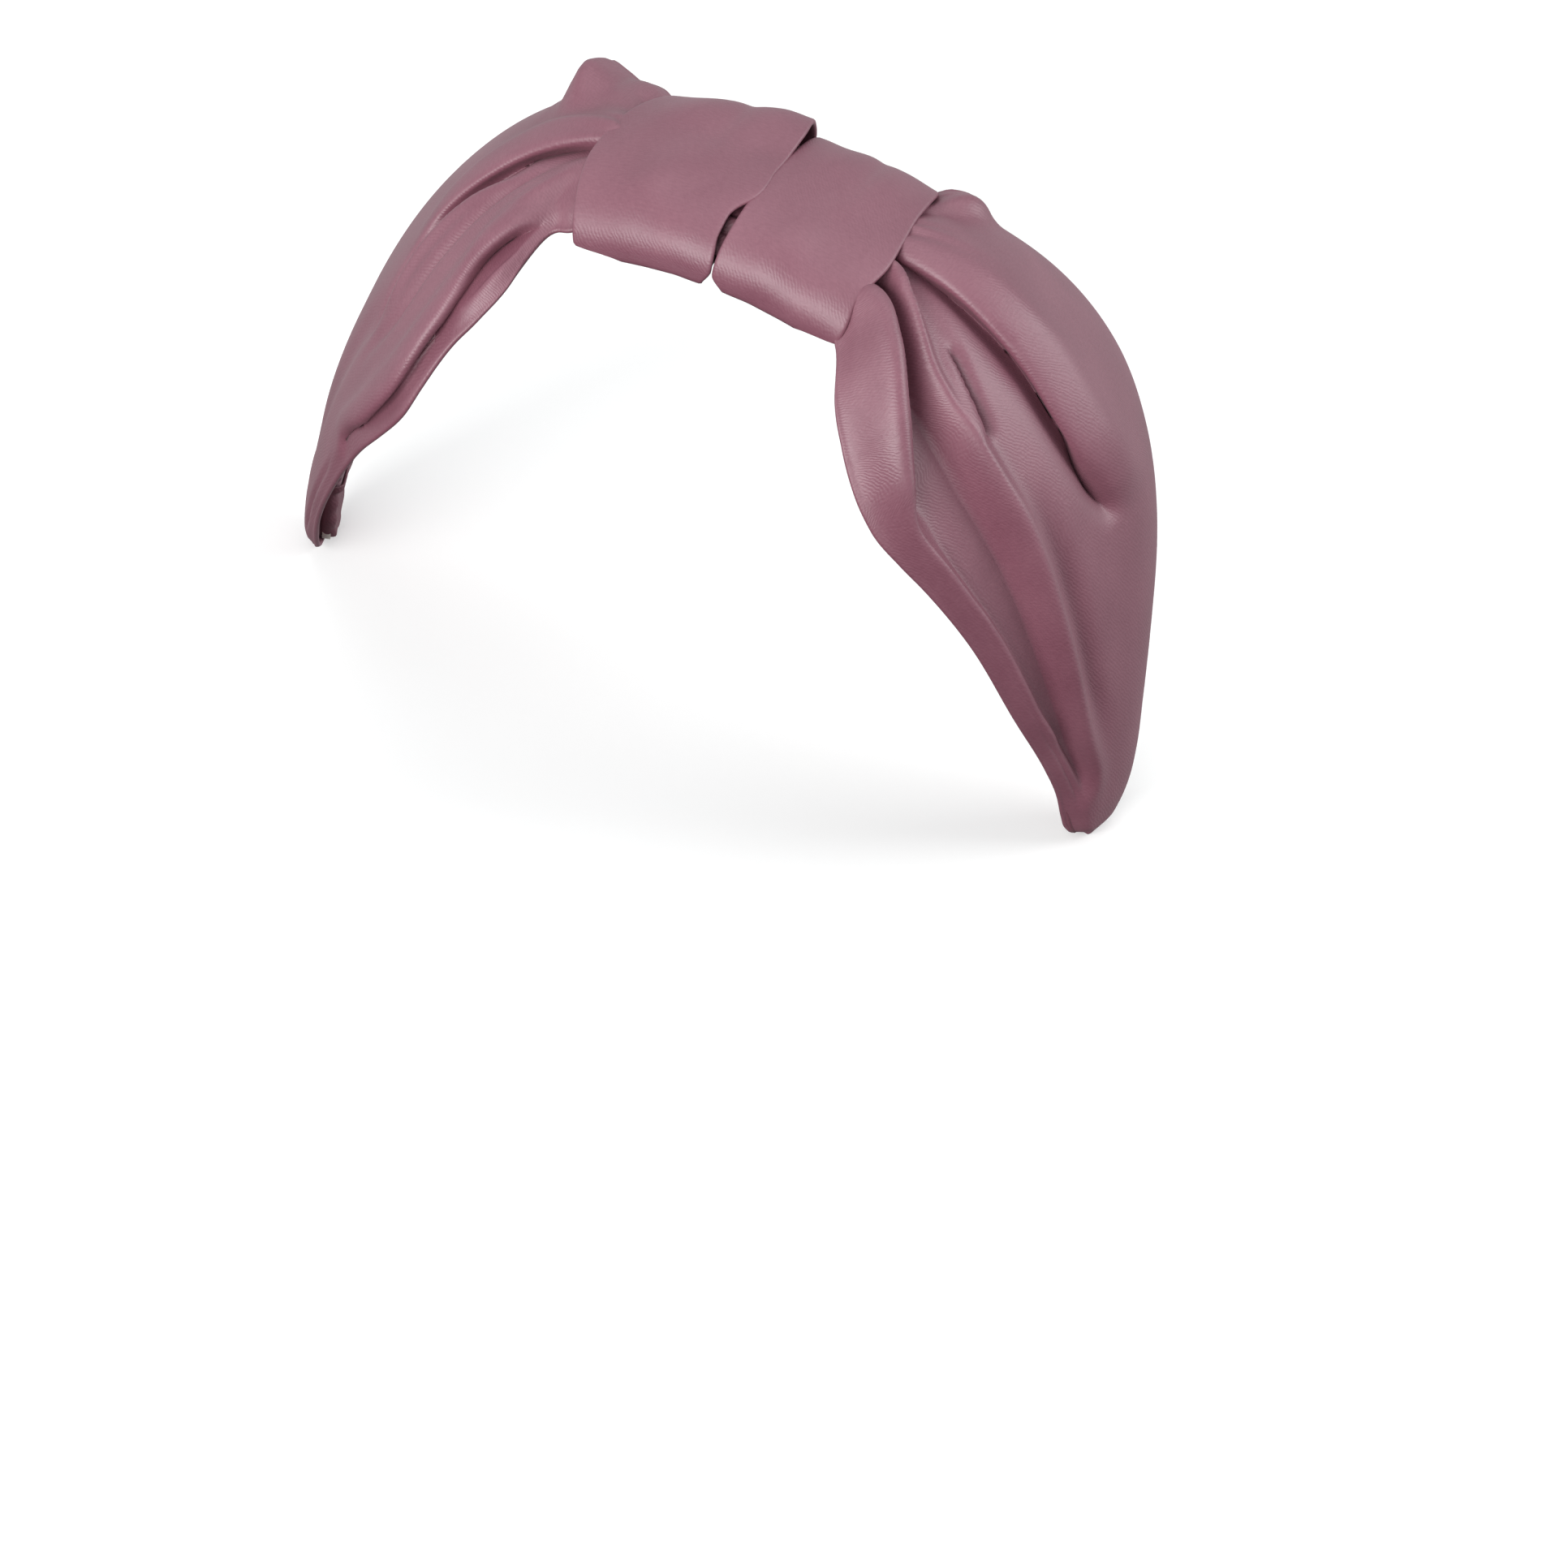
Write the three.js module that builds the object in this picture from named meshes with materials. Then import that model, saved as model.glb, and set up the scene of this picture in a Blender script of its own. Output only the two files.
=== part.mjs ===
// Satin knot headband: a sprung plastic hoop lined with ribbon, two leaf-shaped
// interlined satin wings sewn over it, and a knot of two satin wraps at the crown.
//
// Millimetres, +Z up. The hoop lies in the XZ plane: +X is the wearer's left and
// -Y the side of the face. The origin is the middle of the crown seat, on the face
// of the ribbon that rests on the head.
//
// Every piece is laid out flat first, as it would be cut on a bench, and is then bent
// onto the hoop by onHoop(along, across, out):
//   along   distance from the crown, measured on the hoop, + to the wearer's left
//   across  distance from the hoop's middle line, + to the back of the head
//   out     distance out from the head
// Reach is the distance from the crown on either side, the size of along.

import * as THREE from "three";
import { mergeVertices } from "three/addons/utils/BufferGeometryUtils.js";

// ---- driving dimensions -----------------------------------------------------------

const HALF_SPAN = 71; // from the hoop's middle to one arm's tip
const HOOP_DROP = 98.5; // from the crown down to the tips
const FACET = 8; // every piece bends at the same places along the hoop, this far apart
const SHOULDER_HANDLE = 0.66; // the arm's curve: handles as shares of the half span
const CHEEK_HANDLE = 0.962;
const CHEEK_DROP = 0.359; // and of the drop
const TIP_TOE_IN = THREE.MathUtils.degToRad(19); // the arms turn to the face at the tips
const HEAD_CURL = 70; // radius of the head, front to back, that the satin follows

const GAP = 0.3; // between neighbouring layers
const RIBBON = 0.7;
const SATIN = 0.7;
const CORE_THICK = 1.5;
const INTERLINING = 1.2;
const CORE_HALF_WIDTH = 5;
const RIBBON_HALF_WIDTH = 5.5;

const HINGE_REACH = 26; // where the free arm starts to flex, beside the knot
const CORE_SPLIT = 1; // clearance between the hoop's pieces there
const WING_START = 26.6;
const WING_OVERHANG = 3; // satin past the end of the plastic hoop
const FOLD_LENGTH = 17; // the satin that is folded back under each tip

const KNOT_HALF_LENGTH = 24; // along the hoop
const KNOT_HALF_WIDTH = 20.4; // front to back
const KNOT_HEIGHT = 11.2; // from the head to the top of the wraps
const WRAP_THICK = 1;
const SLIT_FROM = 2.2; // the two wraps meet just left of the middle
const SLIT_WIDTH = 1.4;

// ---- heights of the layers, out from the head ---------------------------------------

const ARM_RIBBON_IN = RIBBON + GAP; // on the arms the ribbon lies against the plastic
const CORE_IN = ARM_RIBBON_IN + RIBBON + GAP;
const CORE_OUT = CORE_IN + CORE_THICK;
const FACING_IN = CORE_OUT + GAP;
const FACING_OUT = FACING_IN + SATIN;
const INTERLINING_IN = FACING_OUT + GAP;
const INTERLINING_OUT = INTERLINING_IN + INTERLINING;
const TOP_IN = INTERLINING_OUT + GAP;

// ---- the hoop's line ------------------------------------------------------------------

const armCurve = new THREE.CubicBezierCurve(
  new THREE.Vector2(FACET / 2, 0),
  new THREE.Vector2(HALF_SPAN * SHOULDER_HANDLE, 0),
  new THREE.Vector2(HALF_SPAN * CHEEK_HANDLE, -HOOP_DROP * CHEEK_DROP),
  new THREE.Vector2(HALF_SPAN, -HOOP_DROP),
);
const ARM_LENGTH = FACET / 2 + armCurve.getLength();
const WING_END = ARM_LENGTH + WING_OVERHANG;

// The crown's middle facet is the flat seat. One facet of each arm's ribbon, near its
// end, is kept truly flat too, as the grip on the side of the head.
const GRIP_MIDDLE = 14 * FACET;

// The point of the hoop's inner line at a reach, and the line's direction there.
function hoopAt(reach) {
  if (reach <= FACET / 2)
    return { at: new THREE.Vector2(reach, 0), heading: new THREE.Vector2(1, 0) };
  const u = (reach - FACET / 2) / (ARM_LENGTH - FACET / 2);
  const at = armCurve.getPointAt(Math.min(u, 1));
  const heading = armCurve.getTangentAt(Math.min(u, 1));
  return { at: at.addScaledVector(heading, Math.max(reach - ARM_LENGTH, 0)), heading };
}

function onHoop(along, across, out, turnAt = Math.abs(along)) {
  const reach = Math.abs(along);
  const { at } = hoopAt(reach);
  const { heading } = hoopAt(turnAt);
  const downTheArm = (turnAt - FACET / 2) / (ARM_LENGTH - FACET / 2);
  const toeIn = TIP_TOE_IN * THREE.MathUtils.clamp(downTheArm, 0, 1);
  const rise = out * Math.cos(toeIn) + across * Math.sin(toeIn);
  return new THREE.Vector3(
    Math.sign(along) * (at.x - heading.y * rise),
    across * Math.cos(toeIn) - out * Math.sin(toeIn),
    at.y + heading.x * rise,
  );
}

// ---- making pieces --------------------------------------------------------------------

const looks = {
  satin: { color: 0x9f7c88, roughness: 0.42, metalness: 0 },
  satinShade: { color: 0x86606d, roughness: 0.5, metalness: 0 },
  ribbon: { color: 0x8a6672, roughness: 0.75, metalness: 0 },
  plastic: { color: 0xe9e4de, roughness: 0.35, metalness: 0 },
  wadding: { color: 0xf1ede6, roughness: 0.95, metalness: 0 },
  thread: { color: 0x7d5967, roughness: 0.6, metalness: 0 },
};

const headband = new THREE.Group();
headband.name = "knotted_headband";

// Bends a flat piece, point by point, and adds it to the headband.
function addPiece(name, look, flatPiece, bend) {
  const place = flatPiece.getAttribute("position");
  const flat = new THREE.Vector3();
  for (let i = 0; i < place.count; i++) {
    const bent = bend(flat.fromBufferAttribute(place, i));
    place.setXYZ(i, bent.x, bent.y, bent.z);
  }
  flatPiece.deleteAttribute("normal");
  flatPiece.deleteAttribute("uv");
  const closed = mergeVertices(flatPiece, 1e-4);
  closed.computeVertexNormals();
  const mesh = new THREE.Mesh(closed, new THREE.MeshStandardMaterial(looks[look]));
  mesh.name = name;
  headband.add(mesh);
}

// Both ends of a piece, the bends of the hoop between them and the piece's own creases.
function bendsBetween(from, to, creases = []) {
  const bends = [from, to, ...creases];
  const first = (Math.floor(from / FACET) + 0.5) * FACET;
  for (let bend = first; bend < to - 1; bend += FACET)
    if (bend > from + 1) bends.push(bend);
  return bends.sort((a, b) => a - b);
}

// Straight runs of values between [reach, value] stations, level beyond the ends.
function profile(...stations) {
  return (reach) => {
    const after = stations.findIndex(([station]) => station >= reach);
    if (after === 0) return stations[0][1];
    if (after < 0) return stations[stations.length - 1][1];
    const [from, to] = [stations[after - 1], stations[after]];
    return THREE.MathUtils.mapLinear(reach, from[0], to[0], from[1], to[1]);
  };
}

// A layer that lies between two lengths along the hoop. front and rear are its edges,
// inner and outer its faces: each is a number, or a function of the reach and of the
// share of the width, which runs from -1 at the front edge to 1 at the rear one. The
// last thing it is given is the side, 1 for the left arm and -1 for the right.
function addLayer(name, look, layer) {
  const side = Math.sign(layer.from + layer.to);
  const value = (v, reach, share) => (typeof v === "function" ? v(reach, share, side) : v);
  const creases = (layer.creases ?? []).map((reach) => side * reach);
  const bends = bendsBetween(layer.from, layer.to, creases);
  const slices = bends.length - 1;
  const flatPiece = new THREE.BoxGeometry(1, 1, 1, slices, layer.strips ?? 1, 1);
  addPiece(name, look, flatPiece, (flat) => {
    const along = bends[Math.round((flat.x + 0.5) * slices)];
    const reach = Math.abs(along);
    const share = 2 * flat.y;
    const edge = value(share < 0 ? layer.front : layer.rear, reach, share);
    const across = Math.abs(share) * edge;
    const out = value(flat.z < 0 ? layer.inner : layer.outer, reach, share);
    const beyondHoop = Math.max(Math.abs(across) - RIBBON_HALF_WIDTH, 0);
    const curl = layer.curled ? beyondHoop ** 2 / (2 * HEAD_CURL) : 0;
    const inGrip = layer.hasGrip && Math.abs(reach - GRIP_MIDDLE) < FACET;
    return onHoop(along, across, out - curl, inGrip ? GRIP_MIDDLE : reach);
  });
}

// The same layer on the left arm and, turned round, on the right arm.
function addOnBothArms(name, look, layer) {
  addLayer(`${name}_left`, look, layer);
  addLayer(`${name}_right`, look, { ...layer, from: -layer.to, to: -layer.from });
}

// ---- hoop and ribbon --------------------------------------------------------------------

function addCore() {
  const faces = { inner: CORE_IN, outer: CORE_OUT };
  const halfWidth = profile(
    [ARM_LENGTH - 30, CORE_HALF_WIDTH],
    [ARM_LENGTH - 8, 0.8 * CORE_HALF_WIDTH],
    [ARM_LENGTH, 0.4 * CORE_HALF_WIDTH],
  );
  const edges = { front: (reach) => -halfWidth(reach), rear: halfWidth };
  const crownHalf = HINGE_REACH - CORE_SPLIT / 2;
  addLayer("band_core_crown", "plastic", {
    from: -crownHalf,
    to: crownHalf,
    ...edges,
    ...faces,
  });
  addOnBothArms("band_core", "plastic", {
    from: HINGE_REACH + CORE_SPLIT / 2,
    to: ARM_LENGTH,
    ...edges,
    ...faces,
  });
}

function addRibbon() {
  const edges = { front: -RIBBON_HALF_WIDTH, rear: RIBBON_HALF_WIDTH };
  addLayer("lining_crown", "ribbon", {
    from: 1 - HINGE_REACH,
    to: HINGE_REACH - 1,
    ...edges,
    inner: 0,
    outer: RIBBON,
  });
  addOnBothArms("lining", "ribbon", {
    from: HINGE_REACH + CORE_SPLIT / 2,
    to: WING_END - FOLD_LENGTH - GAP,
    ...edges,
    inner: ARM_RIBBON_IN,
    outer: ARM_RIBBON_IN + RIBBON,
    hasGrip: true,
  });
}

// ---- wings ------------------------------------------------------------------------------

// Edges of the finished leaf, widest about a third of the way down the arm. Its tip
// leans a little to the back. The right wing is the fuller one in front.
const TIP_LEAN = 2;
const TIP_HALF_WIDTH = 4;
const leftWingFront = profile(
  [WING_START, -20],
  [40, -34],
  [50, -36.5],
  [67, -33.5],
  [99, -21],
  [126, -8],
  [WING_END, TIP_LEAN - TIP_HALF_WIDTH],
);
const rightWingFront = profile(
  [WING_START, -19],
  [40, -34],
  [54, -39.5],
  [68, -38.5],
  [99, -28],
  [126, -12],
  [WING_END, TIP_LEAN - TIP_HALF_WIDTH],
);
const wingFront = (reach, share, side) => (side > 0 ? leftWingFront : rightWingFront)(reach);
const wingRear = profile(
  [WING_START, 24],
  [44, 31],
  [60, 32],
  [73, 30],
  [100, 20],
  [122, 13],
  [WING_END, TIP_LEAN + TIP_HALF_WIDTH],
);

function addWings() {
  const within = (edge, part) => (reach, share, side) => part * edge(reach, share, side);
  addOnBothArms("wing_facing", "satinShade", {
    curled: true,
    from: WING_START,
    to: WING_END - 1,
    strips: 8,
    front: within(wingFront, 0.95),
    rear: within(wingRear, 0.95),
    inner: FACING_IN,
    outer: FACING_OUT,
  });
  addOnBothArms("wing_interlining", "wadding", {
    curled: true,
    from: 4.5 * FACET,
    to: 14.5 * FACET,
    strips: 6,
    front: within(wingFront, 0.7),
    rear: within(wingRear, 0.7),
    inner: INTERLINING_IN,
    outer: INTERLINING_OUT,
  });
  // The folds of the gathered satin fill out the top: high beside the knot, low at the
  // tip, and down to the facing along the sewn edges.
  const puff = profile([WING_START, 6], [50, 5.5], [90, 4], [125, 2], [WING_END, 0.5]);
  addOnBothArms("wing_top", "satin", {
    curled: true,
    from: WING_START,
    to: WING_END,
    strips: 8,
    front: wingFront,
    rear: wingRear,
    inner: (reach, share) => (Math.abs(share) > 0.9 ? FACING_OUT + GAP : TOP_IN),
    outer: (reach, share) => TOP_IN + SATIN + puff(reach) * (1 - share ** 2),
  });
}

// The wing's end is folded round the end of the plastic and back along the ribbon side.
function addTipFolds() {
  const creases = [ARM_LENGTH + GAP, ARM_LENGTH + 2 * GAP];
  addOnBothArms("tip_fold", "satinShade", {
    from: WING_END - FOLD_LENGTH,
    to: WING_END - 0.5,
    front: profile([WING_END - FOLD_LENGTH, -RIBBON_HALF_WIDTH], [WING_END, -1]),
    rear: profile([WING_END - FOLD_LENGTH, RIBBON_HALF_WIDTH], [WING_END, 4]),
    inner: ARM_RIBBON_IN,
    outer: (reach) => (reach < creases[1] ? ARM_RIBBON_IN + RIBBON : CORE_OUT),
    creases,
  });
}

// ---- knot ---------------------------------------------------------------------------------

// The middle of the gathered satin, which runs from wing to wing under the wraps.
function addThroat() {
  const halfWidth = 0.72 * KNOT_HALF_WIDTH;
  const edgeHeight = 1.2;
  const crownHeight = KNOT_HEIGHT - WRAP_THICK - 3 * GAP - FACING_IN;
  addLayer("knot_throat", "satinShade", {
    from: 1 - KNOT_HALF_LENGTH,
    to: KNOT_HALF_LENGTH - 1,
    strips: 6,
    front: -halfWidth,
    rear: halfWidth,
    inner: FACING_IN,
    outer: (reach, share) =>
      FACING_IN + THREE.MathUtils.lerp(crownHeight, edgeHeight, share ** 2),
  });
}

// A wrap's section in across (x) and out (y): flat under the hoop, round over both edges
// and gently crowned on top.
function wrapLoop(path, halfWidth, under, top) {
  const flat = 0.7 * halfWidth;
  const shoulder = (top - under) / 2;
  path.moveTo(-flat, under);
  path.lineTo(flat, under);
  path.bezierCurveTo(halfWidth, under, halfWidth, under, halfWidth, under + shoulder / 2);
  path.bezierCurveTo(halfWidth, top - shoulder / 2, flat, top, 0, top);
  path.bezierCurveTo(-flat, top, -halfWidth, top - shoulder / 2, -halfWidth, under + shoulder / 2);
  path.bezierCurveTo(-halfWidth, under, -halfWidth, under, -flat, under);
  return path;
}

function addWrap(name, from, to) {
  const section = wrapLoop(new THREE.Shape(), KNOT_HALF_WIDTH, ARM_RIBBON_IN, KNOT_HEIGHT);
  section.holes.push(
    wrapLoop(
      new THREE.Path(),
      KNOT_HALF_WIDTH - WRAP_THICK,
      ARM_RIBBON_IN + RIBBON,
      KNOT_HEIGHT - WRAP_THICK,
    ),
  );
  const bends = bendsBetween(from, to);
  const steps = bends.length - 1;
  const strap = new THREE.ExtrudeGeometry(section, {
    depth: steps,
    steps,
    curveSegments: 5,
    bevelEnabled: false,
  });
  addPiece(name, "satin", strap, ({ x, y, z }) => onHoop(bends[Math.round(z)], x, y));
}

// Two thread bars hold the wraps to each other on the underside, beside the ribbon.
function addTacks() {
  const length = 8;
  const middle = SLIT_FROM + SLIT_WIDTH / 2;
  for (const [name, across] of [["knot_tack_front", -9.5], ["knot_tack_rear", 9.5]]) {
    addLayer(name, "thread", {
      from: middle - length / 2,
      to: middle + length / 2,
      front: across - 0.6,
      rear: across + 0.6,
      inner: RIBBON - 0.5,
      outer: RIBBON,
    });
  }
}

addCore();
addRibbon();
addWings();
addTipFolds();
addThroat();
addWrap("knot_wrap_left", SLIT_FROM + SLIT_WIDTH, KNOT_HALF_LENGTH);
addWrap("knot_wrap_right", -KNOT_HALF_LENGTH, SLIT_FROM);
addTacks();

export default headband;
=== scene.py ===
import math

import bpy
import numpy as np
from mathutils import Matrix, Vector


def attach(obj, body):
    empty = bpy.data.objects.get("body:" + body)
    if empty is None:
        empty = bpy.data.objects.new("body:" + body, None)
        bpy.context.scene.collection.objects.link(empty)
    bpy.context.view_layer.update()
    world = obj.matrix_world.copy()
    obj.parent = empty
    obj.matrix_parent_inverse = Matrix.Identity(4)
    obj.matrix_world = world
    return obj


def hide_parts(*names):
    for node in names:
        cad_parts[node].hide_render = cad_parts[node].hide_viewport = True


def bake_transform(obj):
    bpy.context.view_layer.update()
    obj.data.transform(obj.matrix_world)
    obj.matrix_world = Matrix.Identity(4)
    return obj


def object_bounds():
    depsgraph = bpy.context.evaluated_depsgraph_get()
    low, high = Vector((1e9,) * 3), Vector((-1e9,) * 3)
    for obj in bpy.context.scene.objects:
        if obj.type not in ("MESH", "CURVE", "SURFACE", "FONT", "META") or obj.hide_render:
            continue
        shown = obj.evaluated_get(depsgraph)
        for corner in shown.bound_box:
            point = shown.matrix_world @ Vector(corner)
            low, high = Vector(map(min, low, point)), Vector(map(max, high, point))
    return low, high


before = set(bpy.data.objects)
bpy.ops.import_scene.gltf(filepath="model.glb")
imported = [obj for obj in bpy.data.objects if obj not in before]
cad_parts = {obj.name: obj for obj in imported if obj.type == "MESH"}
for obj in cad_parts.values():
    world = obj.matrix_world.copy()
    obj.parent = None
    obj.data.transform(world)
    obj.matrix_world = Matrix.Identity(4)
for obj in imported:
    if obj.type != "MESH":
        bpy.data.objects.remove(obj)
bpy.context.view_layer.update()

# Satin knot headband: the looks of its fabric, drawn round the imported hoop.
#
# Lengths below are in millimetres, as on the bench, until on_hoop turns them into metres.
# Every piece is laid out flat and then bent onto the hoop, as in the CAD model:
#   along   distance from the crown, measured on the hoop, + to the wearer's left
#   reach   the same distance on either side, the size of along
#   across  distance from the hoop's middle line, + to the back of the head
#   out     distance out from the head

MM = 0.001
SIDES = {"left": 1, "right": -1}

# ---- camera -------------------------------------------------------------------------

VIEW_AZIMUTH = math.radians(19.5)
VIEW_ELEVATION = math.radians(42.1)
VIEW_ROLL = math.radians(8.0)
VIEW_DISTANCE = 836
VIEW_OFFSET = (5.0, -92.2)  # right and up, so that the crown sits high in the picture
VIEW_LENS = 117.5


def add_camera():
    a, e, roll = VIEW_AZIMUTH, VIEW_ELEVATION, VIEW_ROLL
    right = Vector((math.cos(a), math.sin(a), 0))
    back = Vector((math.sin(a) * math.cos(e), -math.cos(a) * math.cos(e), math.sin(e)))
    up = back.cross(right)
    rolled_right = math.cos(roll) * right + math.sin(roll) * up
    rolled_up = back.cross(rolled_right)
    data = bpy.data.cameras.new("camera")
    data.lens = VIEW_LENS
    data.clip_start, data.clip_end = 0.05, 20
    camera = bpy.data.objects.new("camera", data)
    bpy.context.scene.collection.objects.link(camera)
    place = back * VIEW_DISTANCE + rolled_right * VIEW_OFFSET[0] + rolled_up * VIEW_OFFSET[1]
    turn = Matrix((rolled_right, rolled_up, back)).transposed().to_4x4()
    camera.matrix_world = Matrix.Translation(place * MM) @ turn
    bpy.context.scene.camera = camera


add_camera()

# ---- the hoop's line, as in the CAD model ----------------------------------------------

HALF_SPAN = 71
HOOP_DROP = 98.5
CROWN_FLAT = 4
ARM_CURVE = (
    (CROWN_FLAT, 0),
    (0.66 * HALF_SPAN, 0),
    (0.962 * HALF_SPAN, -0.359 * HOOP_DROP),
    (HALF_SPAN, -HOOP_DROP),
)
TIP_TOE_IN = math.radians(19)
HEAD_CURL = 70  # the head's radius from front to back, under the satin
RIBBON_HALF_WIDTH = 5.5
CURVE_STEPS = 4000


def bezier(t, a, b, c, d):
    return (1 - t) ** 3 * a + 3 * (1 - t) ** 2 * t * b + 3 * (1 - t) * t**2 * c + t**3 * d


_t = np.linspace(0, 1, CURVE_STEPS)[:, None]
_p0, _p1, _p2, _p3 = np.array(ARM_CURVE, float)
ARM_POINTS = bezier(_t, _p0, _p1, _p2, _p3)
ARM_HEADINGS = 3 * ((1 - _t) ** 2 * (_p1 - _p0) + 2 * (1 - _t) * _t * (_p2 - _p1) + _t**2 * (_p3 - _p2))
ARM_HEADINGS /= np.linalg.norm(ARM_HEADINGS, axis=1)[:, None]
_steps = np.linalg.norm(np.diff(ARM_POINTS, axis=0), axis=1)
ARM_REACHES = CROWN_FLAT + np.concatenate([[0], np.cumsum(_steps)])
ARM_LENGTH = ARM_REACHES[-1]
WING_END = ARM_LENGTH + 1.2


def hoop_at(reach):
    """x, z, and the heading's x and z, of the hoop's inner line."""
    on_arm = np.clip(reach, CROWN_FLAT, ARM_LENGTH)
    x, z = (np.interp(on_arm, ARM_REACHES, ARM_POINTS[:, i]) for i in (0, 1))
    hx, hz = (np.interp(on_arm, ARM_REACHES, ARM_HEADINGS[:, i]) for i in (0, 1))
    past = reach - on_arm
    return x + hx * past, z + hz * past, hx, hz


def on_hoop(along, across, out):
    """Points in the part's frame, in metres, of places on and round the hoop."""
    along, across, out = np.broadcast_arrays(
        *(np.asarray(value, float) for value in (along, across, out))
    )
    reach = np.abs(along)
    x, z, heading_x, heading_z = hoop_at(reach)
    down_the_arm = (reach - CROWN_FLAT) / (ARM_LENGTH - CROWN_FLAT)
    toe_in = TIP_TOE_IN * np.clip(down_the_arm, 0, 1)
    rise = out * np.cos(toe_in) + across * np.sin(toe_in)
    side = np.where(along < 0, -1, 1)
    return MM * np.stack(
        [
            side * (x - heading_z * rise),
            across * np.cos(toe_in) - out * np.sin(toe_in),
            z + heading_x * rise,
        ],
        axis=-1,
    )


def head_curl(across):
    """How far the satin beyond the hoop falls in towards the head."""
    return np.maximum(np.abs(across) - RIBBON_HALF_WIDTH, 0) ** 2 / (2 * HEAD_CURL)


# ---- shape helpers --------------------------------------------------------------------


def smooth(stations, place):
    """A smooth curve through (place, value) stations, level beyond the ends."""
    if np.isscalar(stations):
        return np.full(np.shape(place), float(stations))
    at, value = np.array(stations, float).T
    slope = np.gradient(value, at)
    rise = np.diff(value) / np.diff(at)
    turns = np.concatenate([[True], rise[1:] * rise[:-1] <= 0, [True]])
    slope[turns] = 0
    place = np.clip(place, at[0], at[-1])
    i = np.clip(np.searchsorted(at, place) - 1, 0, len(at) - 2)
    step = at[i + 1] - at[i]
    t = (place - at[i]) / step
    return (
        value[i] * (1 + 2 * t) * (1 - t) ** 2
        + value[i + 1] * t**2 * (3 - 2 * t)
        + step * (slope[i] * t * (1 - t) ** 2 - slope[i + 1] * t**2 * (1 - t))
    )


def ramp(value, start, end):
    """0 before start, 1 after end, and a smooth step between them."""
    t = np.clip((np.asarray(value, float) - start) / (end - start), 0, 1)
    return t * t * (3 - 2 * t)


def unit(vectors):
    return vectors / np.maximum(np.linalg.norm(vectors, axis=-1, keepdims=True), 1e-12)


def row_slope(points, closed):
    if closed:
        return (np.roll(points, -1, axis=0) - np.roll(points, 1, axis=0)) / 2
    return np.gradient(points, axis=0)


RIM_STEPS = 4  # points round each long edge of a piece of cloth


def strip_outlines(middle, normal, half):
    """Each row's closed outline: outer face, last edge, inner face, first edge."""
    turn = np.pi * np.arange(1, RIM_STEPS + 1) / (RIM_STEPS + 1)
    cos, sin = np.cos(turn)[:, None], np.sin(turn)[:, None]

    def rim(column, outward, cosine):
        away = unit(outward)[:, None]
        up = normal[:, column][:, None]
        return middle[:, column][:, None] + half[:, column][:, None] * (cosine * up + sin * away)

    last_rim = rim(-1, middle[:, -1] - middle[:, -2], cos)
    first_rim = rim(0, middle[:, 0] - middle[:, 1], -cos)
    outer = middle + normal * half
    inner = (middle - normal * half)[:, ::-1]
    return np.concatenate([outer, last_rim, inner, first_rim], axis=1)


def strip_cloth_places(middle):
    """On the flat cloth: how far along each row is, and how far across each outline point."""
    down = np.linalg.norm(np.diff(middle, axis=0, append=middle[:1]), axis=-1).mean(axis=1)
    along = np.concatenate([[0], np.cumsum(down)])
    side = np.linalg.norm(np.diff(middle, axis=1), axis=-1)
    top = np.concatenate([np.zeros((len(middle), 1)), np.cumsum(side, axis=1)], axis=1)
    top -= top.mean(axis=1, keepdims=True)
    last_rim = np.repeat(top[:, -1:], RIM_STEPS, 1)
    first_rim = np.repeat(top[:, :1], RIM_STEPS, 1)
    return along, np.concatenate([top, last_rim, top[:, ::-1], first_rim], axis=1)


def end_caps(start, columns, around):
    """Faces that close a strip in the row whose outline starts at vertex start."""
    inner_end = 2 * columns + RIM_STEPS - 1
    caps = [
        [start + j, start + j + 1, start + inner_end - 1 - j, start + inner_end - j]
        for j in range(columns - 1)
    ]
    caps.append([start + k for k in range(columns - 1, columns + RIM_STEPS + 1)])
    caps.append([start + k % around for k in range(inner_end, around + 1)])
    return caps


def add_strip(name, middle, thick, material, closed=False):
    """A piece of cloth from its middle surface, rows by columns of points in metres.

    thick is its thickness in millimetres, one number or one for each point. The edges
    at the first and last column are round, and closed joins the last row to the first.
    """
    rows, columns = middle.shape[:2]
    normal = unit(np.cross(row_slope(middle, closed), np.gradient(middle, axis=1)))
    half = np.broadcast_to(np.asarray(thick, float) * MM / 2, (rows, columns))[..., None]
    outlines = strip_outlines(middle, normal, half)
    around = outlines.shape[1]
    along, across = strip_cloth_places(middle)

    i, j = np.meshgrid(
        np.arange(rows if closed else rows - 1), np.arange(around), indexing="ij"
    )
    row = np.stack([i, i + 1, i + 1, i], -1).reshape(-1, 4)
    column = np.stack([j, j, j + 1, j + 1], -1).reshape(-1, 4) % around
    faces = ((row % rows) * around + column).tolist()
    places = np.stack([across[row % rows, column], along[row]], -1).reshape(-1, 2)
    if not closed:
        for end in (0, rows - 1):
            start = end * around
            caps = end_caps(start, columns, around)
            if end:
                caps = [face[::-1] for face in caps]
            faces += caps
            ends = [[across[end, k - start], along[end]] for face in caps for k in face]
            places = np.concatenate([places, ends])

    mesh = bpy.data.meshes.new(name)
    mesh.from_pydata(outlines.reshape(-1, 3).tolist(), [], faces)
    mesh.uv_layers.new(name="cloth").data.foreach_set("uv", places.astype(np.float32).ravel())
    return finish_mesh(name, mesh, material)


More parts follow.
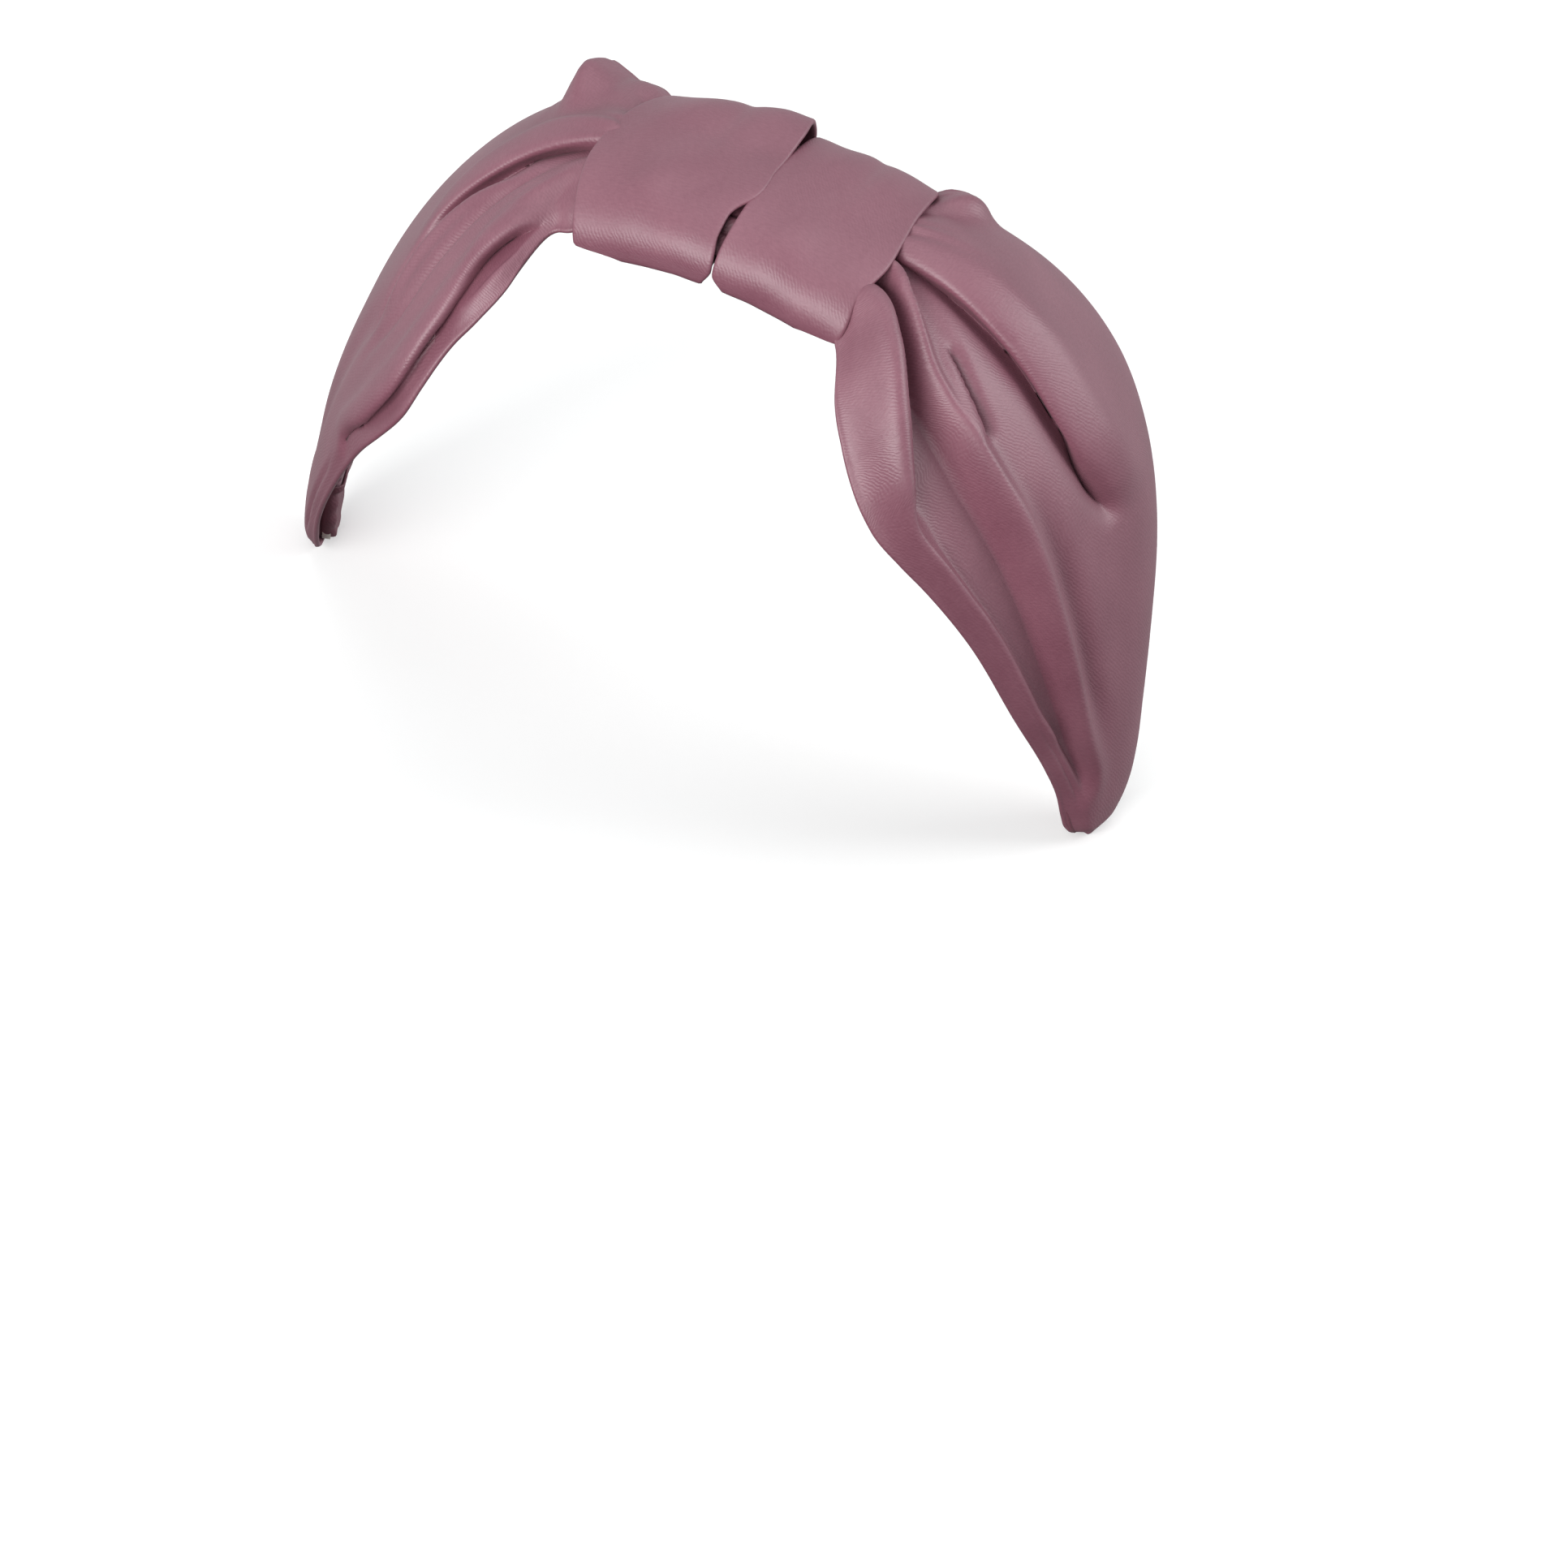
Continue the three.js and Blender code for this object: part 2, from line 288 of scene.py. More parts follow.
def finish_mesh(name, mesh, material):
    mesh.polygons.foreach_set("use_smooth", np.ones(len(mesh.polygons), bool))
    mesh.materials.append(material)
    mesh.update()
    if mesh_volume(mesh) < 0:
        mesh.flip_normals()
    piece = bpy.data.objects.new(name, mesh)
    bpy.context.scene.collection.objects.link(piece)
    return piece


def mesh_volume(mesh):
    mesh.calc_loop_triangles()
    corners = np.zeros(len(mesh.loop_triangles) * 3, np.int32)
    mesh.loop_triangles.foreach_get("vertices", corners)
    points = np.zeros(len(mesh.vertices) * 3, np.float32)
    mesh.vertices.foreach_get("co", points)
    a, b, c = points.reshape(-1, 3)[corners.reshape(-1, 3)].transpose(1, 0, 2)
    return float((a * np.cross(b, c)).sum() / 6)


# ---- materials --------------------------------------------------------------------------


def new_material(name):
    material = bpy.data.materials.new(name)
    material.use_nodes = True
    return material, material.node_tree.nodes, material.node_tree.links


def linear(red, green, blue):
    """A display colour, 0 to 255, as the linear one that the shader takes."""
    def value(c):
        c /= 255
        return c / 12.92 if c <= 0.04045 else ((c + 0.055) / 1.055) ** 2.4
    return (value(red), value(green), value(blue), 1)


def cloth_place(nodes, links, scale, turn=0.0):
    """The place on the flat cloth, in units of scale metres."""
    uv = nodes.new("ShaderNodeUVMap")
    uv.uv_map = "cloth"
    mapping = nodes.new("ShaderNodeMapping")
    mapping.inputs["Rotation"].default_value = (0, 0, turn)
    mapping.inputs["Scale"].default_value = (1 / scale[0], 1 / scale[1], 1)
    links.new(uv.outputs["UV"], mapping.inputs["Vector"])
    return mapping.outputs["Vector"]


def noise(nodes, links, vector, detail=2.0, rough=0.5):
    texture = nodes.new("ShaderNodeTexNoise")
    texture.inputs["Scale"].default_value = 1
    texture.inputs["Detail"].default_value = detail
    texture.inputs["Roughness"].default_value = rough
    links.new(vector, texture.inputs["Vector"])
    return texture.outputs["Fac"]


def waves(nodes, links, vector, distortion=0.0):
    texture = nodes.new("ShaderNodeTexWave")
    texture.inputs["Scale"].default_value = 1
    texture.inputs["Distortion"].default_value = distortion
    texture.inputs["Detail"].default_value = 1
    links.new(vector, texture.inputs["Vector"])
    return texture.outputs["Fac"]


def maths(nodes, links, operation, a, b):
    node = nodes.new("ShaderNodeMath")
    node.operation = operation
    for socket, value in zip(node.inputs, (a, b)):
        if isinstance(value, (int, float)):
            socket.default_value = value
        else:
            links.new(value, socket)
    return node.outputs["Value"]


def colours(nodes, links, factor, *stops):
    node = nodes.new("ShaderNodeValToRGB")
    elements = node.color_ramp.elements
    while len(elements) < len(stops):
        elements.new(0.5)
    for element, (position, colour) in zip(elements, stops):
        element.position = position
        element.color = colour
    links.new(factor, node.inputs["Fac"])
    return node.outputs["Color"]


def bump(nodes, links, height, distance, strength=1.0, under=None):
    node = nodes.new("ShaderNodeBump")
    node.inputs["Strength"].default_value = strength
    node.inputs["Distance"].default_value = distance
    links.new(height, node.inputs["Height"])
    if under is not None:
        links.new(under, node.inputs["Normal"])
    return node.outputs["Normal"]


def satin_material(name, dark, mid, light, rough):
    """Matte bridal satin: a smooth face of long floats over a fine twill."""
    material, nodes, links = new_material(name)
    shader = nodes["Principled BSDF"]
    slub = noise(nodes, links, cloth_place(nodes, links, (0.0011, 0.0004)), 3, 0.6)
    drift = noise(nodes, links, cloth_place(nodes, links, (0.012, 0.02)), 2)
    tint = maths(nodes, links, "ADD", maths(nodes, links, "MULTIPLY", slub, 0.5),
                 maths(nodes, links, "MULTIPLY", drift, 0.5))
    base = colours(nodes, links, tint, (0.3, dark), (0.5, mid), (0.7, light))
    links.new(base, shader.inputs["Base Color"])
    twill = waves(nodes, links, cloth_place(nodes, links, (0.0018, 0.0018), math.radians(35)), 5)
    grain = maths(nodes, links, "ADD", maths(nodes, links, "MULTIPLY", twill, 0.3), slub)
    links.new(bump(nodes, links, grain, 0.00008, 0.7), shader.inputs["Normal"])
    spread = maths(nodes, links, "MULTIPLY", drift, 0.12)
    links.new(maths(nodes, links, "ADD", spread, rough - 0.06), shader.inputs["Roughness"])
    shader.inputs["Specular IOR Level"].default_value = 0.95
    shader.inputs["Sheen Weight"].default_value = 0.06
    shader.inputs["Sheen Roughness"].default_value = 0.4
    shader.inputs["Sheen Tint"].default_value = linear(232, 216, 220)
    shader.inputs["Anisotropic"].default_value = 0.35
    return material


def ribbon_material():
    """Grosgrain: round ribs straight across the ribbon."""
    material, nodes, links = new_material("grosgrain_ribbon")
    shader = nodes["Principled BSDF"]
    ribs = waves(nodes, links, cloth_place(nodes, links, (0.0054, 0.0054), math.radians(90)))
    fuzz = noise(nodes, links, cloth_place(nodes, links, (0.0005, 0.0003)), 3)
    both = maths(nodes, links, "ADD", maths(nodes, links, "MULTIPLY", ribs, 0.6),
                 maths(nodes, links, "MULTIPLY", fuzz, 0.4))
    base = colours(nodes, links, both, (0.25, linear(104, 68, 80)), (0.6, linear(141, 102, 114)),
                   (0.85, linear(160, 122, 133)))
    links.new(base, shader.inputs["Base Color"])
    links.new(bump(nodes, links, both, 0.00012, 0.8), shader.inputs["Normal"])
    shader.inputs["Roughness"].default_value = 0.75
    shader.inputs["Sheen Weight"].default_value = 0.2
    return material


def object_place(nodes, links, scale):
    """The place in a piece's own frame, in units of scale metres."""
    place = nodes.new("ShaderNodeTexCoord")
    mapping = nodes.new("ShaderNodeMapping")
    mapping.inputs["Scale"].default_value = (1 / scale,) * 3
    links.new(place.outputs["Object"], mapping.inputs["Vector"])
    return mapping.outputs["Vector"]


def plastic_material():
    material, nodes, links = new_material("band_plastic")
    shader = nodes["Principled BSDF"]
    clouds = noise(nodes, links, object_place(nodes, links, 0.004), 3)
    base = colours(nodes, links, clouds, (0.3, linear(225, 219, 209)), (0.7, linear(238, 234, 226)))
    links.new(base, shader.inputs["Base Color"])
    grain = noise(nodes, links, object_place(nodes, links, 0.0004), 2)
    links.new(bump(nodes, links, grain, 0.00002, 0.4), shader.inputs["Normal"])
    links.new(maths(nodes, links, "ADD", maths(nodes, links, "MULTIPLY", clouds, 0.15), 0.3),
              shader.inputs["Roughness"])
    return material


def wadding_material():
    material, nodes, links = new_material("wadding")
    shader = nodes["Principled BSDF"]
    fibres = noise(nodes, links, object_place(nodes, links, 0.0006), 6, 0.7)
    base = colours(nodes, links, fibres, (0.3, linear(216, 211, 202)), (0.7, linear(244, 241, 235)))
    links.new(base, shader.inputs["Base Color"])
    links.new(bump(nodes, links, fibres, 0.0003, 0.9), shader.inputs["Normal"])
    shader.inputs["Roughness"].default_value = 0.95
    shader.inputs["Sheen Weight"].default_value = 0.4
    return material


def thread_material():
    material, nodes, links = new_material("sewing_thread")
    shader = nodes["Principled BSDF"]
    ply = noise(nodes, links, object_place(nodes, links, 0.0002), 3)
    base = colours(nodes, links, ply, (0.3, linear(110, 72, 85)), (0.7, linear(150, 110, 122)))
    links.new(base, shader.inputs["Base Color"])
    links.new(bump(nodes, links, ply, 0.00005, 0.6), shader.inputs["Normal"])
    shader.inputs["Roughness"].default_value = 0.6
    shader.inputs["Sheen Weight"].default_value = 0.3
    return material


def floor_material():
    material, nodes, links = new_material("studio_floor")
    shader = nodes["Principled BSDF"]
    clouds = noise(nodes, links, object_place(nodes, links, 0.15), 4)
    base = colours(nodes, links, clouds, (0.2, linear(236, 237, 236)), (0.8, linear(241, 242, 242)))
    links.new(base, shader.inputs["Base Color"])
    shader.inputs["Roughness"].default_value = 0.8
    shader.inputs["Emission Color"].default_value = (1, 1, 1, 1)
    shader.inputs["Emission Strength"].default_value = 0.22
    return material


SATIN = satin_material(
    "satin", linear(122, 72, 87), linear(132, 82, 97), linear(142, 92, 106), 0.51
)
# The same satin made darker: painted shade for the pieces that lie in shadow, the wing linings, the tip
# pockets and the gather inside the knot.
SATIN_PAINTED_SHADE = satin_material(
    "satin_inner", linear(108, 60, 74), linear(118, 68, 82), linear(128, 77, 91), 0.58
)
RIBBON_LOOK = ribbon_material()
PLASTIC_LOOK = plastic_material()
WADDING_LOOK = wadding_material()
THREAD_LOOK = thread_material()

# ---- wings ------------------------------------------------------------------------------
#
# Each wing is a leaf of satin, gathered where it enters the knot. Its height over the
# hoop is a low dome with folds on it. A ridge is a soft swelling, or a hollow where its
# height is below 0. A tuck is a fold whose lobe, to the rear where lobe is 1, leans over
# the cloth beside it; spread widens the lobe. A sewn seam shows as a groove along the front
# edge between the two reaches of seam, and drop is how far the front edge turns in.

FACING_MIDDLE = 4.15
SATIN_THICK = 0.55
HEM_THICK = 0.95
HEM_WIDTH = 2.2
EDGE_DROP = 1.2  # the edges turn in over the lining
LOWEST = 5.3  # the satin stays clear of the facing under it
TIP_DROOP = 0.9  # the last of the satin turns down round the tip
TIP_DROOP_LENGTH = 3
TUCK_VALLEY = 0.7  # a tuck sinks by this share of what its lobe rises
NECK_END = 18.8  # the wings end here, inside the wraps

WINGS = {
    "left": {
        "front": [(20, -17), (24.5, -20.4), (30, -28.4), (36, -33), (43, -36), (51, -37),
                  (60, -35.3), (67, -33), (83, -27.2), (102, -20), (118, -12), (126, -8.2),
                  (132, -6), (135.4, -4.5), (137, -3.2), (138, -1.7), (WING_END, 0.8)],
        "rear": [(20, 17), (24.5, 20), (28, 22.6), (34, 25.2), (44, 28.6), (60, 31), (73, 28.4),
                 (86, 23.2), (100, 16.8), (114, 13), (124, 11.8), (130, 10.6), (134, 8.8),
                 (136.4, 6.9), (137.8, 4.9), (WING_END, 2)],
        "crown": [(20, 7), (24.5, 8.6), (30, 10), (45, 10.8), (70, 10.4), (100, 9), (130, 7.4),
                  (WING_END, 6.2)],
        "lift": {
            "from": 12, "to": 21,
            "tall": [(22, 3), (24.5, 4.4), (26.8, 4.3), (29, 3), (31.5, 0.8), (34, 0)],
        },
        "ridges": [
            # the swelling behind the deep tuck
            {"path": [(22, 6), (45, 8), (66, 10), (85, 11)], "wide": 8,
             "tall": [(22, 1), (45, 1.4), (66, 1.2), (90, 0)]},
            # the long ridge down the middle, crisp beside the knot
            {"path": [(24, -6.4), (29, -11), (33, -14.8), (37, -17.8), (42, -19.6), (48, -20),
                      (56, -19.8), (64, -18.6), (73, -17.4), (83, -15.8), (94, -13.2), (108, -9.4),
                      (126, -4)],
             "wide": [(24, 1.2), (36, 1.7), (46, 2.1), (70, 2.8), (110, 2.6)],
             "tall": [(22, 2), (30, 3.4), (38, 3.2), (47, 3), (73, 2.8), (100, 2.2), (122, 0.8),
                      (132, 0)]},
            # the wide hollow in front of it
            {"path": [(24, -9), (28, -12.2), (31, -15.6), (36, -20.2), (40, -22.6), (45, -24),
                      (51, -24.4), (58, -23.9), (68, -22), (80, -19.4), (96, -15.6), (110, -11),
                      (126, -5.2)],
             "wide": [(24, 1.4), (31, 2.2), (38, 2.8), (46, 3), (60, 2.8), (80, 2.2), (100, 1.8),
                      (126, 1.4)],
             "tall": [(22, -3), (28, -5.5), (38, -10), (65, -9.5), (80, -8), (100, -6), (118, -3.4),
                      (130, 0)]},
            # its front slope, which rises slowly to the edge, and a faint ripple on it
            {"path": [(40, -26.6), (52, -28), (62, -27.2), (80, -22.6), (100, -16.4), (118, -9)],
             "wide": [(40, 2.6), (52, 3), (80, 2.4), (118, 1.6)],
             "tall": [(40, 0), (50, -3.4), (75, -3.2), (100, -1.8), (118, 0)]},
            {"path": [(40, -24.6), (50, -28), (60, -27.6), (75, -24), (95, -17.8), (118, -9)],
             "wide": 1.2,
             "tall": [(38, 0), (50, 0.8), (75, 0.9), (100, 0.6), (118, 0)]},
            # the flap along the front edge
            {"path": [(24, -15), (31, -22), (38, -29), (45, -32.8), (54, -34), (67, -30.6),
                      (83, -24.8), (102, -17.8), (118, -10)],
             "wide": [(24, 3.8), (31, 3.8), (38, 3.2), (46, 2.3), (54, 1.6)],
             "tall": [(22, 2.4), (28, 3.4), (36, 4), (45, 3.4), (56, 2.2), (70, 1.8), (100, 1.6),
                      (122, 0)]},
            # the pocket that the deep tuck ends in
            {"path": [(60, -1.6), (68, 0.4), (76, 3)], "wide": 2.2,
             "tall": [(58, 0), (68, -3), (77, 0)]},
            # the short crease behind the long ridge
            {"path": [(37, -11.6), (39.6, -12.8), (42, -14), (45.4, -15.2), (50, -15.8)],
             "wide": 1.2,
             "tall": [(37, 0), (40, -2.4), (45, -3.4), (48.5, -2), (51.5, 0)]},
            # a soft hollow behind the long ridge
            {"path": [(60, -13), (80, -11), (100, -7.4), (118, -3)], "wide": 2.6,
             "tall": [(58, 0), (70, -1), (100, -1.1), (120, 0)]},
        ],
        "tucks": [
            {"path": [(22, -2.6), (27, -3.2), (38, -3), (47, -2.4), (56, -2), (62, -0.9),
                      (68, 0.8), (73, 2.4), (78, 4)],
             "wide": 1.9, "lobe": 1, "spread": 2.6,
             "tall": [(22, 1.5), (30, 2.2), (45, 2.8), (60, 2.8), (69, 1.8), (77, 0)],
             "lean": [(22, 1.5), (35, 2.4), (45, 2.9), (60, 2.9), (69, 1.5), (77, 0)]},
            {"path": [(36, -12), (39.6, -13.4), (42, -14.7), (45.4, -16), (50, -16.6)], "wide": 1,
             "lobe": -1, "spread": 1.2,
             "tall": [(36, 0), (40, 0.7), (44, 0.9), (48, 0.5), (51, 0)],
             "lean": [(36, 0), (40, 1), (44, 1.3), (48, 0.8), (51, 0)]},
            # the flap's inner edge stands up over the hollow
            {"path": [(22, -9.6), (25, -11.4), (28, -14.4), (31, -17.8), (38, -25), (44, -29),
                      (51, -32), (58, -32.4)],
             "wide": 1.5, "lobe": -1, "spread": 1.8,
             "tall": [(22, 0.6), (28, 1.6), (38, 1.9), (46, 1.4), (56, 0)],
             "lean": [(22, 0.4), (28, 1), (38, 1.4), (46, 1), (56, 0)]},
        ],
        "seam": (50, 134),
        "drop": [(20, 1.2), (120, 1.2), (134, 1.6), (WING_END, 1)],
    },
    "right": {
        "front": [(20, -16), (24.5, -17.4), (27.6, -18), (29.8, -22), (32.8, -28), (37, -32.4),
                  (43, -35.6), (52, -39.8), (60, -41.6), (70, -40.4), (85, -35.6), (102, -28.2),
                  (118, -19), (128, -12.6), (133.6, -8.2), (136.4, -5.5), (137.8, -3.4),
                  (WING_END, -0.4)],
        "rear": [(20, 17), (24.5, 20.5), (28, 22.5), (34, 25), (44, 29), (60, 31.5), (73, 30),
                 (86, 25.5), (100, 20.5), (114, 16.5), (124, 13), (130, 11), (134, 8.8),
                 (136.4, 6.7), (137.8, 4.4), (WING_END, 1.4)],
        "crown": [(20, 7.4), (24.5, 8.8), (30, 8.6), (45, 7.8), (60, 7), (80, 6.4), (100, 6.3),
                  (130, 6.6), (WING_END, 6)],
        "lift": {
            "from": 5, "to": 20,
            "tall": [(22, 2.6), (25, 3.4), (27.2, 3.5), (29.4, 3.4), (32, 5.6), (34, 7.4),
                     (35.6, 5.8), (38, 2.4), (42, 0.6), (46, 0)],
        },
        "ridges": [
            # the swelling behind the deep tuck
            {"path": [(22, 3), (32, 3), (44, 0), (55, -5), (66, -9)], "wide": 5,
             "tall": [(22, 1), (34, 0.8), (48, 0.4), (66, 0)]},
            # the ridge that runs down into the nose of the front fold
            {"path": [(25, -9), (30, -13), (35, -18.4), (40, -25), (46, -31), (57, -35.6),
                      (75, -34.2), (90, -29)],
             "wide": [(25, 2.6), (38, 2.8), (60, 3), (90, 3)],
             "tall": [(22, 0.6), (30, 1), (38, 0.8), (50, 0.6), (64, 0.6), (80, 0.6), (96, 0)]},
            # the groove over the layer that shows under the nose
            {"path": [(28, -18), (31, -21.6), (34, -24.6), (37, -28), (40, -31.6), (43, -33.8),
                      (47, -36.2), (52, -38.6), (60, -40.4), (70, -39.2), (84, -34.6)],
             "wide": [(28, 1.6), (36, 1.8), (43, 1), (84, 0.9)],
             "tall": [(27, 0), (31, -3), (60, -4), (76, -3), (96, 0)]},
            # the fan of soft folds between them
            {"path": [(36, -5.4), (41, -7), (47, -9.4), (53, -13), (60, -18.5), (70, -22)],
             "wide": 1.9, "tall": [(34, 0), (42, -2), (52, -2.4), (62, -1.6), (74, 0)]},
            {"path": [(38, -9.4), (45, -12), (52, -16.4), (60, -22)],
             "wide": 1.5, "tall": [(34, 0), (44, 1.2), (56, 1.1), (68, 0)]},
            {"path": [(30, -7.4), (38, -12), (46, -19), (56, -26), (70, -27)],
             "wide": 1.6, "tall": [(27, 0), (36, -1.4), (50, -1.8), (64, -0.9), (74, 0)]},
            {"path": [(60, -20), (80, -18.5), (100, -13.4), (118, -7)], "wide": 3.2,
             "tall": [(56, 0), (75, -1.3), (100, -1.3), (124, 0)]},
        ],
        "tucks": [
            {"path": [(22, -1.6), (28, -1.6), (35, -2.2), (44, -5), (51, -8.4), (60, -13.6)],
             "wide": 1.6, "lobe": 1, "spread": 2.6,
             "tall": [(22, 1.6), (30, 2), (40, 1.7), (50, 1.2), (60, 0)],
             "lean": [(22, 1.6), (30, 2.4), (40, 2.6), (50, 1.5), (60, 0)]},
            {"path": [(26, -16), (30, -18.6), (34, -21.8), (37, -25), (40, -29.4), (43, -32.4),
                      (47, -35.2), (52, -37.8), (60, -39.6), (70, -38.4), (84, -33.8)],
             "wide": 1.1, "lobe": 1, "spread": 1.7,
             "tall": [(27, 0), (33, 1.3), (38, 1.5), (50, 1.4), (62, 1.3), (74, 1), (92, 0)],
             "lean": [(27, 0), (33, 2.2), (38, 3), (50, 3), (62, 2.6), (74, 1.8), (92, 0)]},
        ],
        "seam": (88, 134),
        "drop": [(20, 1.2), (28, 1.2), (33, 2.4), (60, 2.4), (80, 1.4), (120, 1.4), (134, 1.6),
                 (WING_END, 1)],
    },
}

EDGE_HEIGHT = [(20, 3.6), (24.5, 4.4), (32, 4.9), (WING_END, 4.9)]

SATIN_STEP = 0.55
LINING_STEP = 1.1
WING_COLUMNS = 151
LINING_SHARE = 0.92  # the lining stops short of the hem
LINING_INSET = 2
LINING_THICK = 0.6
LINING_RIPPLE = 0.25
WADDING_SHARE = 0.7
WADDING_REACH = (36, 116)
WADDING_ABOVE_FACING = 0.4
WADDING_GAP = 0.05
WADDING_UNEVENNESS = 0.3  # its thin places lose this share of its thickness
TIP_THINNING = 0.4
TIP_THINNING_LENGTH = 4

DOME_POWER = 2.6  # how square the wing's dome is across
SHOULDER = 3.2  # the folds reach their full height this far in from the edge
EDGE_STEADY = 2  # the tucks lean their full amount this far in from the edge
CLAMP_SOFTNESS = 2.2  # how sharply a hollow levels out as it reaches LOWEST
CLAMP_MARGIN = 0.4

PLEAT_SEED = 7
PLEATS = 9
PLEAT_HEIGHT = 0.12
PLEAT_CENTRE = 14  # the reach that the gathers fan out from
PLEAT_COUNTS = (9, 34)
PLEAT_FADES = (5, 16)
FULL_PLEATS_END = 24

SEAM_INSET = 2.2
SEAM_HALF_WIDTH = 0.55
SEAM_DEPTH = 0.7
SEAM_FADE = 12


def pleats(side, reach, across):
    """Fine gathers that fan out from the knot and die away down the wing."""
    random = np.random.default_rng(PLEAT_SEED + SIDES[side])
    angle = np.arctan2(across, reach - PLEAT_CENTRE)
    total = np.zeros(np.shape(angle))
    for _ in range(PLEATS):
        count = random.uniform(*PLEAT_COUNTS)
        phase = random.uniform(0, 2 * np.pi)
        fade = random.uniform(*PLEAT_FADES)
        strength = np.exp(-np.maximum(reach - FULL_PLEATS_END, 0) / fade)
        total += np.sin(count * angle + phase) * strength
    return PLEAT_HEIGHT * total


def wing_lift(side, reach, across):
    """How far the gathers beside the knot lift the wing's rear edge off the head."""
    lift = WINGS[side]["lift"]
    return smooth(lift["tall"], reach) * ramp(across, lift["from"], lift["to"])


def wing_edge(side, reach, share):
    """across of the edge that share counts towards: the front below 0, the rear above it."""
    wing = WINGS[side]
    return np.where(share < 0, smooth(wing["front"], reach), smooth(wing["rear"], reach))


def bulge(d):
    """A rise to 1 at d = 1 and back, and the same downwards for d below 0."""
    return d * np.exp(0.5 - d * d / 2)


def wing_surface(side, reach, share):
    """across and out of the satin's middle surface; share runs from -1, front, to 1."""
    wing = WINGS[side]
    edge_across = wing_edge(side, reach, share)
    across = np.abs(share) * edge_across
    inset = (1 - np.abs(share)) * np.abs(edge_across)
    edge = smooth(EDGE_HEIGHT, reach)
    height = edge + (smooth(wing["crown"], reach) - edge) * (1 - np.abs(share) ** DOME_POWER)
    shift = np.zeros(np.shape(across))
    for ridge in wing["ridges"]:
        d = (across - smooth(ridge["path"], reach)) / smooth(ridge["wide"], reach)
        height = height + smooth(ridge["tall"], reach) * np.exp(-d * d)
    for tuck in wing["tucks"]:
        d = (across - smooth(tuck["path"], reach)) / smooth(tuck["wide"], reach)
        on_lobe = d * tuck["lobe"] > 0
        swell = np.where(on_lobe, bulge(d / tuck["spread"]), TUCK_VALLEY * bulge(d))
        height = height + tuck["lobe"] * smooth(tuck["tall"], reach) * swell
        shift = shift - smooth(tuck["lean"], reach) * bulge(d)
    height = height + pleats(side, reach, across)
    height = edge + (height - edge) * ramp(inset, -0.6, SHOULDER)
    first, last = wing["seam"]
    in_seam = (across - smooth(wing["front"], reach) - SEAM_INSET) / SEAM_HALF_WIDTH
    shown = ramp(reach, first, first + SEAM_FADE) * (1 - ramp(reach, last - SEAM_FADE, last))
    spare = CLAMP_SOFTNESS * (height - LOWEST + CLAMP_MARGIN)
    height = LOWEST - CLAMP_MARGIN + np.logaddexp(0, spare) / CLAMP_SOFTNESS
    height = height - SEAM_DEPTH * shown * np.exp(-in_seam * in_seam)
    height = height + wing_lift(side, reach, across)
    drop = np.where(share < 0, smooth(wing["drop"], reach), EDGE_DROP)
    height = height - drop * (1 - ramp(inset, 0, HEM_WIDTH))
    height = height - TIP_DROOP * ramp(reach, WING_END - TIP_DROOP_LENGTH, WING_END)
    across = across + shift * ramp(inset, 0, EDGE_STEADY)
    return across, height - head_curl(across)


def wing_grid(last_reach, last_share, step):
    """The reach and share of every point of a wing's cloth, rows down the wing."""
    reach = np.linspace(NECK_END, last_reach, int((last_reach - NECK_END) / step))
    share = np.linspace(-last_share, last_share, WING_COLUMNS)
    return np.meshgrid(reach, share, indexing="ij")


def add_wing_satin(side):
    reach, share = wing_grid(WING_END, 1, SATIN_STEP)
    across, out = wing_surface(side, reach, share)
    inset = (1 - np.abs(share)) * np.abs(wing_edge(side, reach, share))
    thick = SATIN_THICK + (HEM_THICK - SATIN_THICK) * (1 - ramp(inset, 0, HEM_WIDTH))
    thick = thick * (1 - TIP_THINNING * ramp(reach, WING_END - TIP_THINNING_LENGTH, WING_END))
    place = on_hoop(SIDES[side] * reach, across, out)
    piece = add_strip(f"wing_satin_{side}", place, thick, SATIN)
    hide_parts(f"wing_top_{side}")
    bend_at_knot(piece)


def add_wing_lining(side):
    reach, share = wing_grid(WING_END - LINING_INSET, LINING_SHARE, LINING_STEP)
    across = np.abs(share) * wing_edge(side, reach, share)
    ripple = LINING_RIPPLE * np.sin(reach / 5 + across / 9) * ramp(np.abs(share), 0.2, 0.8)
    out = FACING_MIDDLE - head_curl(across) + ripple + wing_lift(side, reach, across)
    place = on_hoop(SIDES[side] * reach, across, out)
    # the lining takes the darker satin, painted shade
    piece = add_strip(f"wing_lining_{side}", place, LINING_THICK, SATIN_PAINTED_SHADE)
    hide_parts(f"wing_facing_{side}")
    bend_at_knot(piece)


def bend_at_knot(piece):
    """Bakes the piece's place into its mesh; the satin is not attached to the crown or the arm."""
    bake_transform(piece)


def add_wadding(side):
    """A thin leaf of wadding between the satin and its lining."""
    reach = np.linspace(*WADDING_REACH, 100)
    share = np.linspace(-WADDING_SHARE, WADDING_SHARE, 61)
    reach, share = np.meshgrid(reach, share, indexing="ij")
    across = np.abs(share) * wing_edge(side, reach, share)
    inner = FACING_MIDDLE + WADDING_ABOVE_FACING
    outer = LOWEST - SATIN_THICK / 2 - WADDING_GAP
    loft = 1 - WADDING_UNEVENNESS * np.sin(reach / 3.1 + across / 4) ** 2
    middle = (inner + outer) / 2 - head_curl(across) + wing_lift(side, reach, across)
    piece = add_strip(f"wadding_{side}", on_hoop(SIDES[side] * reach, across, middle),
                      (outer - inner) * loft, WADDING_LOOK)
    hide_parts(f"wing_interlining_{side}")
    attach(piece, f"{side}_arm")


# ---- ribbon -----------------------------------------------------------------------------

